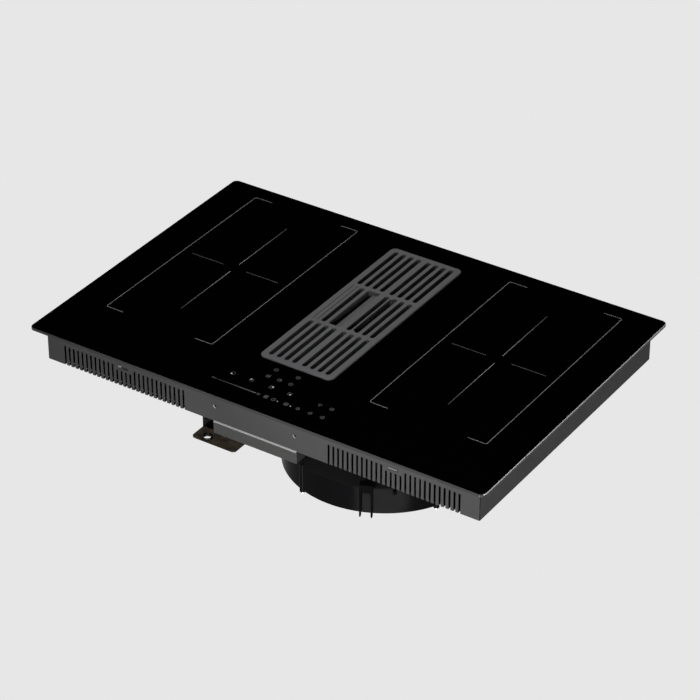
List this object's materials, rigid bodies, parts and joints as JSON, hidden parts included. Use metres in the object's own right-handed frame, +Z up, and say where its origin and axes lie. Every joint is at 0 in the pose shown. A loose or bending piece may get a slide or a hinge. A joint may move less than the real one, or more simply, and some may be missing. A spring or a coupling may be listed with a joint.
{
  "type": "induction hob with downdraft extractor",
  "caption": "Built-in black glass induction hob with a lift-off intake grille in the middle, a slotted metal tray and a round extractor fan housing and condensate cup below.",
  "frame": {"origin": "centre of the glass outline in the plane of the worktop, which is the underside of the seal", "axes": "+X to the cook's right, +Y to the back, +Z up out of the worktop"},
  "size_m": [0.77, 0.52, 0.1575],
  "materials": {
    "black_glass": "polished black glass-ceramic, opaque from above",
    "seal_foam": "closed-cell foam strip",
    "silicone": "cured silicone",
    "grille_metal": "dark grey matt coated metal",
    "black_plastic": "moulded, fine satin",
    "filter_steel": "folded stainless sheet",
    "filter_metal": "layers of expanded metal",
    "tray_paint": "dark grey powder coat",
    "pan_steel": "dark grey powder coat",
    "screw_steel": "zinc plated",
    "motor_steel": "bright steel",
    "brass_bush": "plain",
    "smoked_plastic": "smoked brown, slightly see-through",
    "gland_rubber": "moulded",
    "white_plastic": "light guide",
    "spring_steel": "bright",
    "copper": "varnished litz wire",
    "carrier_plastic": "heat-proof moulding",
    "ferrite": "sintered",
    "mica": "pressed sheet",
    "bare_aluminium": "mill finish",
    "circuit_board": "solder resist",
    "component_dark": "sleeved parts"
  },
  "bodies": {
    "hob": {"air_pan": "pan_steel", "air_well": "black_plastic", "base_tray": "tray_paint", "blower_frame_left": "black_plastic", "blower_frame_right": "black_plastic", "cable_gland": "gland_rubber", "coil_carrier_back_left": "carrier_plastic", "coil_carrier_back_right": "carrier_plastic", "coil_carrier_front_left": "carrier_plastic", "coil_carrier_front_right": "carrier_plastic", "coil_plate_left": "bare_aluminium", "coil_plate_right": "bare_aluminium", "coil_sensors": "silicone", "coil_winding_back_left": "copper", "coil_winding_back_right": "copper", "coil_winding_front_left": "copper", "coil_winding_front_right": "copper", "control_board": "circuit_board", "control_frame": "white_plastic", "cup_hangers": "pan_steel", "drain_spout": "black_plastic", "fan_inlet_ring": "seal_foam", "fan_latch": "black_plastic", "fan_lid": "black_plastic", "fan_screws": "screw_steel", "fan_shell": "black_plastic", "ferrites_back_left": "ferrite", "ferrites_back_right": "ferrite", "ferrites_front_left": "ferrite", "ferrites_front_right": "ferrite", "glass_adhesive": "silicone", "glass_seal": "seal_foam", "glass_top": "black_glass", "heatsink_left": "bare_aluminium", "heatsink_right": "bare_aluminium", "inverter_board_left": "circuit_board", "inverter_board_right": "circuit_board", "mains_board": "circuit_board", "mica_sheet_left": "mica", "mica_sheet_right": "mica", "motor_bearings": "brass_bush", "motor_stator": "motor_steel", "outlet_spigot": "black_plastic", "pan_floor": "pan_steel", "power_parts_left": "component_dark", "power_parts_right": "component_dark", "terminal_block": "black_plastic", "touch_springs": "spring_steel", "tray_back": "tray_paint", "tray_floor": "tray_paint"},
    "grille": {"intake_grille": "grille_metal"},
    "filter": {"filter_frame": "filter_steel", "filter_mesh": "filter_metal"},
    "impeller": {"impeller": "black_plastic", "motor_rotor": "motor_steel", "motor_shaft": "motor_steel"},
    "blower_left": {"blower_rotor_left": "black_plastic"},
    "blower_right": {"blower_rotor_right": "black_plastic"},
    "cup": {"condensate_cup": "smoked_plastic"}
  },
  "joints": [
    {"name": "grille_lift", "type": "slide", "parent": "hob", "child": "grille", "axis": [0, 0, 1], "range_m": [0, 0.16]},
    {"name": "filter_lift", "type": "slide", "parent": "hob", "child": "filter", "axis": [0, 0, 1], "range_m": [0, 0.08]},
    {"name": "impeller_spin", "type": "hinge", "parent": "hob", "child": "impeller", "pos_m": [0.1145, -0.0976, -0.1], "axis": [0, 0, 1], "continuous": true},
    {"name": "blower_spin_left", "type": "hinge", "parent": "hob", "child": "blower_left", "pos_m": [-0.23, -0.185, -0.042], "axis": [0, 0, 1], "continuous": true},
    {"name": "blower_spin_right", "type": "hinge", "parent": "hob", "child": "blower_right", "pos_m": [0.23, -0.185, -0.042], "axis": [0, 0, 1], "continuous": true},
    {"name": "cup_slide", "type": "slide", "parent": "hob", "child": "cup", "axis": [0, -1, 0], "range_m": [0, 0.15]}
  ],
  "couplings": [
    {"joint": "filter_lift", "follows": "grille_lift", "ratio": 0.5}
  ]
}
